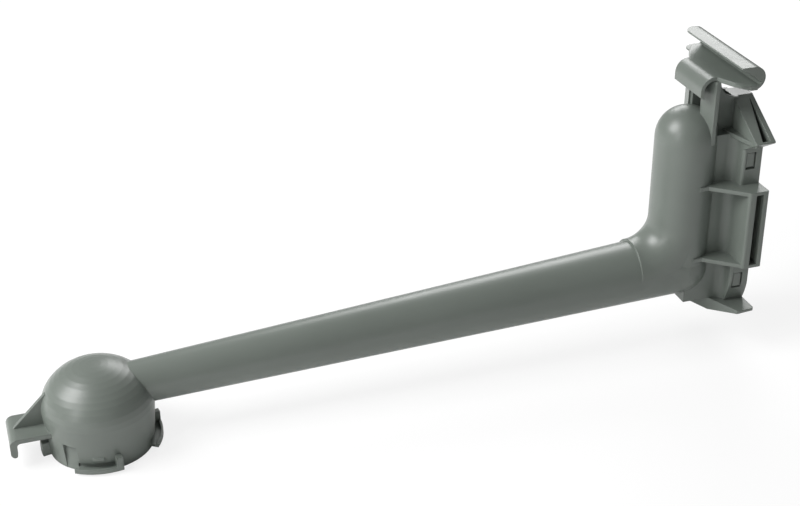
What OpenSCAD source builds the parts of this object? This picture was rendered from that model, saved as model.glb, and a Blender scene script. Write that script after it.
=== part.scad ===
// Upper water tube of a dishwasher: a round cap for the spray arm, a tapered
// tube, a standing riser and a flat docking head with a hook for the rack.
// X runs from the cap to the docking head, Z is up, the part is mirrored about Y = 0.
// The origin is the centre of the cap's rim.

/* [Cap] */
// Outer radius of the cap at its rim
cap_rim_r = 21; // [19:0.5:24]
// Outer radius of the cap at its shoulder
cap_shoulder_r = 22.5; // [21.5:0.5:26]
// Height of the shoulder above the rim
cap_shoulder_z = 18.7; // [15:0.1:22]
// Height of the cap's crown above the rim
cap_top_z = 36.8; // [34.5:0.1:41]
// Radius of the socket for the spray arm
socket_r = 19.2; // [17.5:0.1:19.4]
// Depth of the straight part of the socket
socket_depth = 12; // [8:0.5:14]

/* [Bayonet lugs] */
// Number of lugs round the rim
lug_count = 4; // [2:1:5]
// Outer radius of a lug
lug_r = 24.5; // [23.5:0.1:26.5]
// Angle that a lug covers
lug_angle = 46; // [30:1:54]
// Direction of the middle of the first lug
lug_start = -101; // [-110:1:-92]
// Height of a lug's underside above the rim
lug_z = 1; // [0.5:0.1:2]
// Thickness of a lug's ledge
lug_ledge = 0.9; // [0.7:0.1:1.2]
// Height of a lug's outer lip
lug_lip_h = 2; // [1.6:0.1:3]
// Height of the stop at a lug's end
lug_stop_h = 6; // [4:0.5:8]
// Height of the track that is sunk into the cap's side over a lug
track_h = 2; // [1.5:0.1:2.6]
// Radius of the bottom of the track
track_r = 20.1; // [19.9:0.1:20.4]

/* [Front hook] */
// Width of the hook's plate
front_hook_w = 18; // [12:1:24]
// Distance from the cap's centre to the outer face of the hook
front_hook_x = 36.3; // [32:0.1:42]
// Height of the plate's top face
front_hook_z = 13.6; // [11:0.1:16]
// Thickness of the plate
front_hook_t = 1.9; // [1.4:0.1:2.5]
// Height of the hook's lowest point
front_hook_tip_z = 5.4; // [3:0.1:7]
// Thickness of the hook's turned-down lip
front_lip_t = 2.8; // [2:0.1:3.5]
// Height at which the gusset meets the cap
gusset_z = 27; // [24:0.5:30]

/* [Tube] */
// Height of the tube's centre line at the cap's centre
tube_z = 23.9; // [22:0.1:26]
// Outer radius of the tube at the cap's centre
tube_r = 8.6; // [7.5:0.1:10]
// Rise of the centre line from the cap to the riser
tube_rise = 13; // [8:0.1:18]
// Wall of the tube, the riser and the cap
wall = 1.8; // [1.4:0.1:2.2]

/* [Riser] */
// Distance from the cap's centre to the riser's centre
riser_x = 254.2; // [220:0.1:290]
// Outer radius of the riser
riser_r = 13.4; // [12:0.1:15]
// Height of the centre of the riser's round top
riser_top_z = 97; // [85:0.5:105]
// Radius of the inside of the bend between tube and riser
bend_r = 9; // [6:0.5:14]

/* [Docking head] */
// Distance from the cap's centre to the head's rear face
head_x = 281; // [278:0.5:320]
// Depth of the head from front wall to rear face
head_d = 9; // [8:0.1:11]
// Half width of the head at its side faces
side_w = 17; // [15.5:0.1:19]
// Half width of the side wings
wing_w = 25.4; // [23:0.1:30]
// Height of the wings' lower edge
wing_z0 = 42.8; // [39:0.1:47]
// Height of the wings' upper edge
wing_z1 = 78.6; // [74:0.1:82]
// Width of the open slot in a wing, along X
slot_w = 3.5; // [2.5:0.1:4.5]
// Thickness of the wings' rear wall
rear_t = 2.2; // [1.6:0.1:2.8]
// Wall between a slot and a wing's upper or lower edge
edge_t = 1.4; // [1:0.1:2]
// Wall of the head's mouth
head_wall = 1.6; // [1.2:0.1:2]
// Height of the gable's lower corners
gable_z = 101; // [97:0.5:105]
// Half width of the gable
gable_w = 25.9; // [23:0.1:30]
// Height of the gable's flat top
gable_top_z = 114.2; // [110:0.1:118]
// Half width of the neck between riser and head
neck_w = 10; // [8:0.1:11.5]
// Height of the top of the neck and of the head's mouth
mouth_z1 = 100; // [94:0.5:102]
// Radius of the hollow corner between neck and front wall
cove_r = 4; // [2:0.5:5]
// Radius of the head's front edges
front_edge_r = 1.4; // [0.6:0.1:1.8]
// Thickness of the ribs between riser and wings
rib_t = 1.8; // [1.2:0.1:2.4]

/* [Vane] */
// Height of the vane's top face
vane_z = 21.5; // [20:0.1:23]
// Thickness of the vane
vane_t = 1.2; // [1:0.1:2]
// Half width of the vane
vane_w = 24.6; // [22:0.1:28]
// Height of the lowest edge of the skirt under the vane
skirt_z = 15.7; // [13.5:0.1:18]

/* [Rear hook] */
// Half width of the rear hook
rear_hook_w = 25; // [20:0.5:30]
// Height of the underside of the hook's lower sheet
rear_hook_z = 125.2; // [121:0.1:130]
// Outer height of the hook's closed end
rear_hook_h = 10; // [9:0.1:12]
// Thickness of the lower sheet
sheet_t = 1.9; // [1.4:0.1:2.4]
// Distance from the head's rear face to the hook's closed end
rear_hook_back = 8; // [6:0.5:10]
// Depth of the hook's lip along X
lip_d = 10.8; // [8:0.1:13]
// Half width of the nose in front of the hook
nose_w = 11.8; // [9:0.1:14]
// Distance from the head's rear face to the front of the nose
nose_back = 28.5; // [26.5:0.1:31]
// Height of the nose's lower edge
nose_z = 118.6; // [116:0.1:121]

/* [Inlet plate] */
// Height of the centre of the lower inlet
port_z0 = 38; // [36:0.5:42]
// Distance between the two inlets
port_pitch = 46; // [40:0.5:48]
// Radius of an inlet
port_r = 10.5; // [8:0.1:11.5]
// Clearance between the inlet plate and the mouth
plate_gap = 0.2; // [0.1:0.05:0.3]
// Thickness of the inlet plate
plate_t = 1.8; // [1.4:0.1:2.4]
// Height of the middle of the lower snap windows
window_z0 = 32.3; // [31:0.1:36]
// Distance between the lower and the upper snap windows
window_pitch = 57.2; // [52:0.1:60]
// Height of a snap window
window_h = 7.6; // [5:0.1:9]

/* [Hidden] */
$fn = 48;
moulded_colour = [0.40, 0.43, 0.40];
eps = 0.01;

// The tube's centre line climbs in a straight line from the cap to the riser.
tube_tilt = atan(tube_rise / riser_x);
tube_len = riser_x / cos(tube_tilt);
tube_end_z = tube_z + tube_rise;
tube_end_r = riser_r + 0.5;
bend_mid_r = bend_r + riser_r;

front_x = head_x - head_d;
slot_x1 = head_x - rear_t;
slot_x0 = slot_x1 - slot_w;
gable_slope = (gable_top_z - gable_z) / gable_w;
mouth_floor_z = vane_z;
mouth_w = side_w - head_wall;
mouth_mid_z = vane_z + 13.5;
hook_r = rear_hook_h / 2;
hook_x = head_x - rear_hook_back - hook_r;
sheet_z = rear_hook_z + sheet_t;
nose_x = head_x - nose_back;

// Points of an arc about [cx, cy] from angle a0 to angle a1.
function arc(cx, cy, r, a0, a1, n = 8) =
    [for (i = [0:n]) [cx + r * cos(a0 + (a1 - a0) * i / n), cy + r * sin(a0 + (a1 - a0) * i / n)]];

// The same list of points on the other side of the second axis.
function other_side(points) = [for (i = [len(points) - 1:-1:0]) [points[i][0], -points[i][1]]];

// Draws an X-Z profile as a solid that is centred on Y = 0.
module along_y(w) {
    translate([0, w / 2, 0])
        rotate([90, 0, 0])
            linear_extrude(w)
                children();
}

// Draws a Y-Z outline as a solid that runs from x0 to x1.
module along_x(x0, x1) {
    translate([x0, 0, 0])
        rotate([90, 0, 90])
            linear_extrude(x1 - x0)
                children();
}

// Draws an X-Y outline as a solid that runs from z0 to z1.
module along_z(z0, z1) {
    translate([0, 0, z0])
        linear_extrude(z1 - z0)
            children();
}

// Points of the crown's half profile, a quarter of an ellipse that is rx wide and rz high.
function crown(rx, rz) = [for (a = [0:7.5:90]) [rx * cos(a), cap_shoulder_z + rz * sin(a)]];

module cap_outer() {
    rotate_extrude()
        polygon(concat([[0, 0], [cap_rim_r, 0]], crown(cap_shoulder_r, cap_top_z - cap_shoulder_z)));
}

module cap_inner() {
    rotate_extrude()
        polygon(concat([[0, -1], [socket_r, -1], [socket_r, socket_depth]],
            crown(cap_shoulder_r - wall, cap_top_z - cap_shoulder_z - wall)));
}

// A lug is a ledge with a raised lip, closed by a stop at one end.
module lug() {
    stop_angle = 6;
    lip_t = 1;
    foot_r = cap_rim_r - 1;
    rotate([0, 0, -lug_angle / 2])
        rotate_extrude(angle = lug_angle)
            union() {
                translate([foot_r, lug_z])
                    square([lug_r - foot_r, lug_ledge]);
                translate([lug_r - lip_t, lug_z])
                    square([lip_t, lug_lip_h]);
            }
    rotate([0, 0, lug_angle / 2 - stop_angle])
        rotate_extrude(angle = stop_angle)
            translate([foot_r, lug_z])
                square([lug_r - foot_r, lug_stop_h]);
}

// The track is a groove in the cap's side over the ledge, up to the stop.
module lug_track() {
    stop_angle = 6;
    rotate([0, 0, -lug_angle / 2])
        rotate_extrude(angle = lug_angle - stop_angle)
            translate([track_r, lug_z + lug_ledge])
                square([cap_shoulder_r - track_r, track_h]);
}

// A shallow pocket beside the first lug lets the arm's tab in.
module entry_pocket() {
    pocket_angle = 16;
    pocket_top = 11.5;
    rotate([0, 0, lug_start - lug_angle / 2 - pocket_angle + 1])
        rotate_extrude(angle = pocket_angle)
            polygon([[track_r + 0.2, pocket_top], [track_r + 0.8, -eps], [cap_shoulder_r, -eps],
                [cap_shoulder_r, pocket_top]]);
}

// A small bead over the first lug that the arm's tab snaps past.
module snap_bead() {
    bead_angle = 12;
    rotate([0, 0, lug_start - bead_angle / 2])
        rotate_extrude(angle = bead_angle)
            polygon([[cap_rim_r - 1, 5.2], [cap_rim_r + 1.1, 5.4], [cap_rim_r + 1.1, 6.4], [cap_rim_r, 7]]);
}

module front_hook() {
    bend = 3;
    inner_bend = 1.4;
    plate_under_z = front_hook_z - front_hook_t;
    inner_x = front_hook_x - front_lip_t;
    seat_x = cap_shoulder_r - 3;
    along_y(front_hook_w)
        mirror([1, 0])
            polygon(concat(
                [[seat_x, plate_under_z], [seat_x, front_hook_z]],
                arc(front_hook_x - bend, front_hook_z - bend, bend, 90, 0),
                arc(front_hook_x - 2.2, front_hook_tip_z + 2, 2.2, 0, -70, 4),
                arc(inner_x + 1.1, front_hook_tip_z + 0.9, 0.9, 290, 180, 5),
                [[inner_x, front_hook_tip_z + 2.4]],
                arc(inner_x - inner_bend, plate_under_z - inner_bend, inner_bend, 0, 90, 5)));
    along_y(wall)
        mirror([1, 0])
            polygon([[seat_x, front_hook_z - eps], [seat_x, gusset_z],
                [seat_x + 0.8, gusset_z], [front_hook_x - bend + 0.6, front_hook_z - eps]]);
}

module tube_cone(r0, r1) {
    translate([0, 0, tube_z])
        rotate([0, 90 - tube_tilt, 0])
            cylinder(h = tube_len, r1 = r0, r2 = r1);
}

// The bend joins tube and riser with an even radius on its inside.
module bend(r) {
    translate([riser_x - bend_mid_r, 0, tube_end_z + bend_mid_r])
        rotate([90, 0, 0])
            rotate([0, 0, -90])
                rotate_extrude(angle = 90)
                    translate([bend_mid_r, 0])
                        circle(r);
}

module duct_outer() {
    tube_cone(tube_r, tube_end_r);
    translate([riser_x, 0, tube_end_z])
        sphere(tube_end_r);
    translate([riser_x, 0, tube_end_z])
        cylinder(h = riser_top_z - tube_end_z, r = riser_r);
    translate([riser_x, 0, riser_top_z])
        sphere(riser_r);
    bend(riser_r);
}

module duct_inner() {
    tube_cone(tube_r - wall, tube_end_r - wall);
    translate([riser_x, 0, tube_end_z])
        sphere(tube_end_r - wall);
    translate([riser_x, 0, tube_end_z])
        cylinder(h = riser_top_z - tube_end_z, r = riser_r - wall);
    translate([riser_x, 0, riser_top_z])
        sphere(riser_r - wall);
    bend(riser_r - wall);
    along_z(mouth_floor_z + 4, mouth_z1 - wall)
        translate([riser_x, -neck_w + wall])
            square([front_x + head_wall - riser_x + eps, 2 * (neck_w - wall)]);
}

// Plan of the neck and of a slab of the head that is w wide on each side.
function half_plan(w) = concat(
    [[riser_x, neck_w]],
    arc(front_x - cove_r, neck_w + cove_r, cove_r, -90, 0),
    arc(front_x + front_edge_r, w - front_edge_r, front_edge_r, 180, 90),
    arc(head_x - 0.5, w - 0.5, 0.5, 90, 0, 3));

module head_plan(w) {
    polygon(concat(half_plan(w), other_side(half_plan(w))));
}

// Y-Z outline of the mouth, whose sides draw in towards the bottom.
module mouth_outline(w) {
    drop = 23.9 * w / side_w;
    top_r = 3;
    half = concat(
        [for (a = [0:6:34]) [w * cos(a), mouth_mid_z - drop * sin(a)]],
        [[w * 0.825, mouth_floor_z]]);
    polygon(concat(
        [[w - top_r, mouth_z1]],
        arc(w - top_r, mouth_z1 - top_r, top_r, 90, 0, 5),
        half,
        [for (i = [len(half) - 1:-1:0]) [-half[i][0], half[i][1]]],
        arc(top_r - w, mouth_z1 - top_r, top_r, 180, 90, 5)));
}

module gable_outline(inset = 0) {
    top_w = 4;
    tip_r = 0.8;
    low_z = gable_z - (gable_w - side_w) * 0.66;
    polygon([
        [-side_w + 2, low_z + inset], [-side_w, low_z + inset],
        [-gable_w + tip_r, gable_z - tip_r + inset], [-gable_w, gable_z + inset * 0.3],
        [-top_w, gable_top_z], [top_w, gable_top_z],
        [gable_w, gable_z + inset * 0.3], [gable_w - tip_r, gable_z - tip_r + inset],
        [side_w, low_z + inset], [side_w - 2, low_z + inset]]);
}

// The open slots that leave each wing as a front and a rear wall.
module wing_slots() {
    for (s = [-1, 1])
        translate([slot_x0, s > 0 ? side_w : -wing_w - 1, wing_z0 + edge_t])
            cube([slot_w, wing_w - side_w + 1, wing_z1 - wing_z0 - 2 * edge_t]);
}

// The gable's slots run out to a point towards its top.
module gable_slots() {
    intersection() {
        for (s = [-1, 1])
            along_z(gable_z - 8, gable_top_z)
                polygon([[slot_x1, s * 5], [slot_x1, s * (gable_w + 1)],
                    [slot_x0, s * (gable_w + 1)], [slot_x0, s * (gable_w - 1)]]);
        along_x(slot_x0 - 1, slot_x1 + 1)
            polygon([
                [-gable_w - 1, gable_z + edge_t], [-gable_w, gable_z + edge_t * 0.7],
                [-side_w, gable_z - (gable_w - side_w) * 0.66 + edge_t], [-5, gable_z - 1],
                [5, gable_z - 1], [side_w, gable_z - (gable_w - side_w) * 0.66 + edge_t],
                [gable_w, gable_z + edge_t * 0.7], [gable_w + 1, gable_z + edge_t],
                [gable_w + 1, gable_top_z + 1], [-gable_w - 1, gable_top_z + 1]]);
    }
}

module head_outer() {
    intersection() {
        along_z(mouth_floor_z, mouth_z1)
            head_plan(side_w);
        along_x(riser_x, head_x)
            mouth_outline(side_w);
    }
    difference() {
        intersection() {
            along_z(wing_z0, wing_z1)
                head_plan(wing_w);
            translate([front_x, -wing_w, 0])
                cube([head_d, 2 * wing_w, wing_z1]);
        }
        wing_slots();
    }
    difference() {
        intersection() {
            along_z(gable_z - 8, gable_top_z)
                head_plan(gable_w);
            along_x(front_x, head_x)
                gable_outline();
        }
        gable_slots();
    }
}

// Flat ribs that run slanting from the riser out to the wings.
module riser_rib(z, w, foot_x, foot_y) {
    for (s = [-1, 1])
        along_z(z, z + rib_t)
            polygon([[riser_x + 6, 0], [foot_x, s * (foot_y - 3)], [foot_x, s * foot_y],
                [foot_x + 4, s * foot_y], [front_x + 0.6, s * w], [front_x + 2, s * w],
                [front_x + 2, 0]]);
}

module ribs() {
    riser_rib(wing_z1 - rib_t, wing_w - 0.6, riser_x + 1, riser_r + 0.4);
    riser_rib(wing_z0, wing_w - 0.6, riser_x + 1, riser_r + 0.4);
    riser_rib(gable_z - rib_t - 0.4, gable_w - 1, riser_x + 9, 4);
}

// The vane is a flat floor under the head with a skirt along its front edge.
module vane() {
    prow_x = riser_x + 8;
    tip_x = front_x + 0.8;
    skirt_t = 1.6;
    along_z(vane_z - vane_t, vane_z)
        polygon([[prow_x, 0], [tip_x, -vane_w], [tip_x + 1.5, -vane_w - 0.3], [head_x - 0.6, -vane_w + 0.2],
            [head_x, -vane_w + 1], [head_x, vane_w - 1], [head_x - 0.6, vane_w - 0.2],
            [tip_x + 1.5, vane_w + 0.3], [tip_x, vane_w]]);
    intersection() {
        along_z(skirt_z, vane_z)
            for (s = [-1, 1])
                polygon([[prow_x, 0], [tip_x, s * vane_w], [tip_x + skirt_t, s * vane_w],
                    [prow_x + skirt_t, 0]]);
        along_x(prow_x, head_x)
            polygon([[-vane_w, vane_z], [-vane_w, vane_z - vane_t - 0.3], [-10, skirt_z], [10, skirt_z],
                [vane_w, vane_z - vane_t - 0.3], [vane_w, vane_z]]);
    }
}

// X-Z profile of the part of the rear hook that closes round the wire.
module hook_profile() {
    top_z = rear_hook_z + rear_hook_h;
    lip_x = hook_x + hook_r - lip_d;
    difference() {
        union() {
            translate([hook_x, rear_hook_z + hook_r])
                circle(hook_r);
            translate([lip_x, rear_hook_z])
                square([hook_x - lip_x, rear_hook_h]);
        }
        polygon([[lip_x - 1, sheet_z], [hook_x + 2.6, sheet_z + 0.2], [hook_x + 3.3, sheet_z + 1],
            [hook_x + 3, sheet_z + 1.6], [hook_x + 0.6, sheet_z + 3.6], [lip_x + 0.6, top_z - 0.9],
            [lip_x - 1, top_z - 0.5]]);
    }
}

// X-Z profile of the sheet in front of the hook, which rolls over into the nose.
module nose_profile() {
    roll = 5.5;
    t = 1.5;
    roll_x = nose_x + roll;
    roll_z = sheet_z - roll;
    difference() {
        union() {
            translate([roll_x, roll_z])
                circle(roll);
            translate([nose_x, nose_z])
                square([roll, roll_z - nose_z]);
            translate([roll_x - eps, rear_hook_z])
                square([hook_x - roll_x + 2, sheet_t]);
        }
        translate([roll_x, roll_z])
            circle(roll - t);
        translate([nose_x + t, nose_z - 1])
            square([roll, roll_z - nose_z + 1]);
        translate([roll_x, nose_z - 1])
            square([roll + 1, rear_hook_z - nose_z + 1]);
    }
}

// Plan of the rear hook: full width at the back, narrow at the nose.
module hook_plan() {
    lip_x = hook_x + hook_r - lip_d;
    polygon([
        [nose_x - 1, -nose_w + 0.6], [nose_x + 3, -nose_w], [nose_x + 6.5, -nose_w],
        [hook_x - 5.5, -rear_hook_w + 6], [hook_x - 1, -rear_hook_w], [hook_x + hook_r + 1, -rear_hook_w],
        [hook_x + hook_r + 1, rear_hook_w], [hook_x - 1, rear_hook_w], [hook_x - 5.5, rear_hook_w - 6],
        [nose_x + 6.5, nose_w], [nose_x + 3, nose_w], [nose_x - 1, nose_w - 0.6]]);
}

module lip_plan() {
    lip_x = hook_x + hook_r - lip_d;
    far_r = 5;
    polygon(concat(
        [[hook_x + hook_r + 1, -rear_hook_w], [lip_x, -rear_hook_w]],
        arc(lip_x + far_r, rear_hook_w - far_r, far_r, 180, 90),
        [[hook_x + hook_r + 1, rear_hook_w]]));
}

module rear_hook() {
    intersection() {
        along_y(2 * rear_hook_w)
            nose_profile();
        along_z(nose_z - 1, sheet_z + 1)
            hook_plan();
    }
    intersection() {
        along_y(2 * rear_hook_w)
            hook_profile();
        union() {
            along_z(sheet_z, rear_hook_z + rear_hook_h + 1)
                lip_plan();
            along_z(rear_hook_z - 1, sheet_z + eps)
                hook_plan();
        }
    }
}

// Two upright plates carry the nose on the riser, and two webs tie the hook to the gable.
module hook_supports() {
    plate_in = 5.2;
    plate_out = 12.6;
    web_out = 5.2;
    web_t = 1.8;
    sweep = 8;
    for (s = [-1, 1]) {
        along_z(riser_top_z, rear_hook_z + eps)
            polygon([[riser_x + 2.2, s * plate_in], [riser_x + 4.6, s * plate_out],
                [riser_x + 6.4, s * plate_out], [riser_x + 4, s * plate_in]]);
        translate([0, s * (web_out - web_t / 2), 0])
            along_y(web_t)
                difference() {
                    translate([riser_x + 3, riser_top_z])
                        square([front_x + 2 - riser_x - 3, rear_hook_z - riser_top_z + eps]);
                    translate([front_x + 1, gable_top_z + sweep])
                        circle(sweep);
                    translate([front_x + 1, gable_top_z])
                        square([2, sweep * 2]);
                    translate([front_x + 1 - sweep, gable_top_z + sweep])
                        square([sweep + 2, sweep]);
                }
    }
}

// The mouth is open to the rear, with a window for each snap in its sides.
module mouth_cut() {
    along_x(front_x + head_wall, head_x + 1)
        intersection() {
            mouth_outline(mouth_w);
            translate([-mouth_w, mouth_floor_z])
                square([2 * mouth_w, mouth_z1 - head_wall - mouth_floor_z]);
        }
    for (z = [window_z0, window_z0 + window_pitch])
        translate([front_x + head_wall, -side_w - 1, z - window_h / 2])
            cube([head_d - head_wall - rear_t - 0.8, 2 * side_w + 2, window_h]);
}

module water_tube() {
    color(moulded_colour)
        difference() {
            union() {
                cap_outer();
                for (i = [0:lug_count - 1])
                    rotate([0, 0, lug_start + i * 360 / lug_count])
                        lug();
                snap_bead();
                front_hook();
                duct_outer();
                head_outer();
                ribs();
                vane();
                rear_hook();
                hook_supports();
            }
            cap_inner();
            duct_inner();
            for (i = [0:lug_count - 1])
                rotate([0, 0, lug_start + i * 360 / lug_count])
                    lug_track();
            entry_pocket();
            mouth_cut();
        }
}

module inlet_plate() {
    plate_w = mouth_w - plate_gap;
    rim_t = 1.4;
    body_x = front_x + head_wall + plate_gap;
    nose_h = window_h - 1.2;
    color(moulded_colour)
        difference() {
            union() {
                difference() {
                    along_x(body_x, head_x)
                        intersection() {
                            mouth_outline(plate_w);
                            translate([-plate_w, mouth_floor_z + plate_gap])
                                square([2 * plate_w, mouth_z1 - head_wall - mouth_floor_z - 2 * plate_gap]);
                        }
                    along_x(body_x - 1, head_x - plate_t)
                        intersection() {
                            mouth_outline(plate_w - rim_t);
                            translate([-plate_w, mouth_floor_z + plate_gap + rim_t])
                                square([2 * plate_w,
                                    mouth_z1 - head_wall - mouth_floor_z - 2 * plate_gap - 2 * rim_t]);
                        }
                }
                for (z = [port_z0, port_z0 + port_pitch])
                    translate([body_x, 0, z])
                        rotate([0, 90, 0])
                            cylinder(h = head_x - body_x, r = port_r + rim_t);
                for (z = [window_z0, window_z0 + window_pitch])
                    for (s = [-1, 1])
                        translate([body_x, s > 0 ? plate_w - rim_t : -side_w, z - nose_h / 2 + 0.5])
                            cube([3.4, side_w - plate_w + rim_t, nose_h]);
            }
            for (z = [port_z0, port_z0 + port_pitch])
                translate([body_x - 1, 0, z])
                    rotate([0, 90, 0])
                        cylinder(h = head_x - body_x + 2, r = port_r);
        }
}

water_tube();
inlet_plate();
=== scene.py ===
import math
import bpy
from mathutils import Matrix, Vector


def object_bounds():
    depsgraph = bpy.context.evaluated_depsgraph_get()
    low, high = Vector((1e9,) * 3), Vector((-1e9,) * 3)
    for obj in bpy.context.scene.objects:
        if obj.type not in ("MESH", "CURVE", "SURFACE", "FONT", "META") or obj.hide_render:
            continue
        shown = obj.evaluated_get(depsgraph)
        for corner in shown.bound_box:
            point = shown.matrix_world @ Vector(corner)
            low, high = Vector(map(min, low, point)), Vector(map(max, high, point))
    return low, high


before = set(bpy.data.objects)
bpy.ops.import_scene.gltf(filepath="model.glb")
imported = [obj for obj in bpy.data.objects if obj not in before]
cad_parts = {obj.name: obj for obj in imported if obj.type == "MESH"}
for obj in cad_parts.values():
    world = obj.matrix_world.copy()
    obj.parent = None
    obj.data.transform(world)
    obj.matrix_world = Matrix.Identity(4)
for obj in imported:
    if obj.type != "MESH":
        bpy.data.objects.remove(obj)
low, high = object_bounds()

MM = 0.001

# The photograph's camera, worked out from the rim circle, the upright edges
# and the part's straight lines.
EYE = Vector((-39.33, -509.24, 355.95)) * MM
YAW = math.radians(18.103)
PITCH = math.radians(28.626)
ROLL = math.radians(-0.460)
FOCAL_PX = 1498.08
FRAME_W = 800

# Linear base colours of the two mouldings.
TUBE_GREY = (0.128, 0.146, 0.130)
PLATE_GREY = [0.92 * c for c in TUBE_GREY]
# Darkest and lightest shade of the clouds in the plastic, as shares of the base colour.
SHADES = (0.93, 1.06)
# Clouds per metre along and across the flow of the melt.
CLOUDS_ALONG = 14
CLOUDS_ACROSS = 38
# Least and greatest roughness, and how many gloss patches there are per metre.
ROUGHNESS = (0.30, 0.42)
GLOSS_PATCHES = 60
# Radius of the moulded edges, in metres.
EDGE_R = 0.5 * MM
# Height in metres and count per metre of the shrinkage waves and of the tool's grain.
WAVE_H = 0.4 * MM
WAVES = 70
GRAIN_H = 0.05 * MM
GRAINS = 2200

# Strength of the soft light from all round, and the share of pure white in the seen floor.
WORLD_LIGHT = 0.24
FLOOR_GLOW = 0.8
FLOOR_WHITE = (0.86, 0.86, 0.86, 1)
FLOOR_HALF = 6
PURE_WHITE = (1, 1, 1, 1)

# Lamps: place, size and power in metres and watts. All face the middle of the tube.
AIM = (0.12, 0, 0.05)
LAMPS = {
    "key": ((-0.65, 0.05, 0.80), (0.6, 0.6), 15),
    "strip": ((-0.75, -0.55, 0.45), (0.08, 0.7), 3),
    "rim": ((0.45, 0.65, 0.50), (0.5, 0.4), 4),
}


def photo_camera():
    """The camera stands where the photograph was taken from, with its roll and focal length."""
    forward = Vector((math.sin(YAW) * math.cos(PITCH), math.cos(YAW) * math.cos(PITCH), -math.sin(PITCH)))
    right = Vector((math.cos(YAW), -math.sin(YAW), 0))
    down = forward.cross(right)
    right_rolled = math.cos(ROLL) * right - math.sin(ROLL) * down
    down_rolled = math.sin(ROLL) * right + math.cos(ROLL) * down
    data = bpy.data.cameras.new("photo_camera")
    data.sensor_width = 36
    data.sensor_fit = "HORIZONTAL"
    data.lens = FOCAL_PX / FRAME_W * data.sensor_width
    data.clip_start = 0.01
    data.clip_end = 20
    camera = bpy.data.objects.new("photo_camera", data)
    camera.matrix_world = Matrix((
        (right_rolled.x, -down_rolled.x, -forward.x, EYE.x),
        (right_rolled.y, -down_rolled.y, -forward.y, EYE.y),
        (right_rolled.z, -down_rolled.z, -forward.z, EYE.z),
        (0, 0, 0, 1)))
    bpy.context.scene.collection.objects.link(camera)
    bpy.context.scene.camera = camera


def area_light(name, place, size, power):
    data = bpy.data.lights.new(name, "AREA")
    data.shape = "RECTANGLE"
    data.size, data.size_y = size
    data.energy = power
    lamp = bpy.data.objects.new(name, data)
    lamp.location = place
    lamp.rotation_euler = (Vector(AIM) - Vector(place)).to_track_quat("-Z", "Y").to_euler()
    bpy.context.scene.collection.objects.link(lamp)


def node(tree, kind, place, **values):
    made = tree.nodes.new(kind)
    made.location = place
    for key, value in values.items():
        setattr(made, key, value)
    return made


def link(tree, a, out, b, into):
    tree.links.new(a.outputs[out], b.inputs[into])


def noise(tree, place, scale, detail):
    made = node(tree, "ShaderNodeTexNoise", place)
    made.inputs["Scale"].default_value = scale
    made.inputs["Detail"].default_value = detail
    return made


def moulded_plastic(name, colour):
    """Injection-moulded plastic: faint flow marks, fine tool texture and rounded edges."""
    material = bpy.data.materials.new(name)
    material.use_nodes = True
    tree = material.node_tree
    tree.nodes.clear()
    out = node(tree, "ShaderNodeOutputMaterial", (900, 0))
    shader = node(tree, "ShaderNodeBsdfPrincipled", (600, 0))
    coords = node(tree, "ShaderNodeTexCoord", (-900, 0))

    # Faint clouds in the colour, drawn out along the flow of the melt.
    stretch = node(tree, "ShaderNodeMapping", (-700, 200))
    stretch.inputs["Scale"].default_value = (CLOUDS_ALONG, CLOUDS_ACROSS, CLOUDS_ACROSS)
    clouds = noise(tree, (-500, 200), 1, 4)
    shades = node(tree, "ShaderNodeValToRGB", (-300, 200))
    for stop, place, shade in zip(shades.color_ramp.elements, (0.3, 0.7), SHADES):
        stop.position = place
        stop.color = [c * shade for c in colour] + [1]
    link(tree, coords, "Object", stretch, "Vector")
    link(tree, stretch, "Vector", clouds, "Vector")
    link(tree, clouds, "Fac", shades, "Fac")
    link(tree, shades, "Color", shader, "Base Color")

    # The gloss changes a little over the surface.
    patches = noise(tree, (-500, -100), GLOSS_PATCHES, 3)
    gloss = node(tree, "ShaderNodeMapRange", (-300, -100))
    gloss.inputs["To Min"].default_value = ROUGHNESS[0]
    gloss.inputs["To Max"].default_value = ROUGHNESS[1]
    link(tree, coords, "Object", patches, "Vector")
    link(tree, patches, "Fac", gloss, "Value")
    link(tree, gloss, "Result", shader, "Roughness")

    # Fine grain of the mould over slow waves of shrinkage, on edges with a small radius.
    grain = noise(tree, (-500, -400), GRAINS, 2)
    waves = noise(tree, (-500, -600), WAVES, 1)
    edges = node(tree, "ShaderNodeBevel", (-300, -800), samples=6)
    edges.inputs["Radius"].default_value = EDGE_R
    wave_bump = node(tree, "ShaderNodeBump", (0, -600))
    wave_bump.inputs["Strength"].default_value = 0.25
    wave_bump.inputs["Distance"].default_value = WAVE_H
    grain_bump = node(tree, "ShaderNodeBump", (200, -400))
    grain_bump.inputs["Strength"].default_value = 0.12
    grain_bump.inputs["Distance"].default_value = GRAIN_H
    link(tree, coords, "Object", grain, "Vector")
    link(tree, coords, "Object", waves, "Vector")
    link(tree, edges, "Normal", wave_bump, "Normal")
    link(tree, waves, "Fac", wave_bump, "Height")
    link(tree, grain, "Fac", grain_bump, "Height")
    link(tree, wave_bump, "Normal", grain_bump, "Normal")
    link(tree, grain_bump, "Normal", shader, "Normal")
    link(tree, shader, "BSDF", out, "Surface")
    return material


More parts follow.
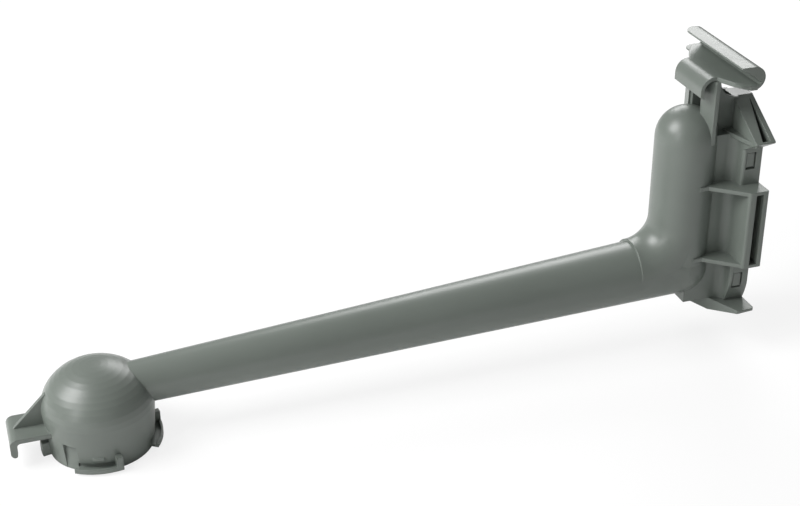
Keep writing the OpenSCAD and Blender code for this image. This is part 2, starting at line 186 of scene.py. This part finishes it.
def white_floor(z):
    """A matt floor that the camera sees nearly as pure white, with the part's soft shadow."""
    mesh = bpy.data.meshes.new("floor")
    corners = [(-FLOOR_HALF, -FLOOR_HALF, z), (FLOOR_HALF, -FLOOR_HALF, z),
               (FLOOR_HALF, FLOOR_HALF, z), (-FLOOR_HALF, FLOOR_HALF, z)]
    mesh.from_pydata(corners, [], [(0, 1, 2, 3)])
    floor = bpy.data.objects.new("floor", mesh)
    bpy.context.scene.collection.objects.link(floor)
    material = bpy.data.materials.new("floor_white")
    material.use_nodes = True
    tree = material.node_tree
    tree.nodes.clear()
    out = node(tree, "ShaderNodeOutputMaterial", (600, 0))
    seen = node(tree, "ShaderNodeLightPath", (-200, 300))
    matt = node(tree, "ShaderNodeBsdfDiffuse", (0, -100))
    matt.inputs["Color"].default_value = FLOOR_WHITE
    glow = node(tree, "ShaderNodeEmission", (0, 100))
    glow.inputs["Color"].default_value = PURE_WHITE
    glow.inputs["Strength"].default_value = 1
    share = node(tree, "ShaderNodeMath", (0, 300), operation="MULTIPLY")
    share.inputs[1].default_value = FLOOR_GLOW
    mix = node(tree, "ShaderNodeMixShader", (300, 0))
    link(tree, seen, "Is Camera Ray", share, 0)
    link(tree, share, "Value", mix, "Fac")
    link(tree, matt, "BSDF", mix, 1)
    link(tree, glow, "Emission", mix, 2)
    link(tree, mix, "Shader", out, "Surface")
    mesh.materials.append(material)


def white_world():
    """White behind the floor for the camera, and a weak even light for everything else."""
    world = bpy.data.worlds.new("studio")
    bpy.context.scene.world = world
    world.use_nodes = True
    tree = world.node_tree
    tree.nodes.clear()
    out = node(tree, "ShaderNodeOutputWorld", (600, 0))
    seen = node(tree, "ShaderNodeLightPath", (-200, 300))
    soft = node(tree, "ShaderNodeBackground", (0, -100))
    soft.inputs["Color"].default_value = PURE_WHITE
    soft.inputs["Strength"].default_value = WORLD_LIGHT
    plain = node(tree, "ShaderNodeBackground", (0, 100))
    plain.inputs["Color"].default_value = PURE_WHITE
    plain.inputs["Strength"].default_value = 1
    mix = node(tree, "ShaderNodeMixShader", (300, 0))
    link(tree, seen, "Is Camera Ray", mix, "Fac")
    link(tree, soft, "Background", mix, 1)
    link(tree, plain, "Background", mix, 2)
    link(tree, mix, "Shader", out, "Surface")


def dress(name, material):
    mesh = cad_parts[name].data
    for slot in range(len(mesh.materials)):
        mesh.materials[slot] = material


photo_camera()
white_world()
white_floor(low[2])
for lamp_name, (place, size, power) in LAMPS.items():
    area_light(lamp_name, place, size, power)
dress("water_tube", moulded_plastic("moulded_grey", TUBE_GREY))
dress("inlet_plate", moulded_plastic("plate_grey", PLATE_GREY))
bpy.context.scene.view_settings.view_transform = "Standard"
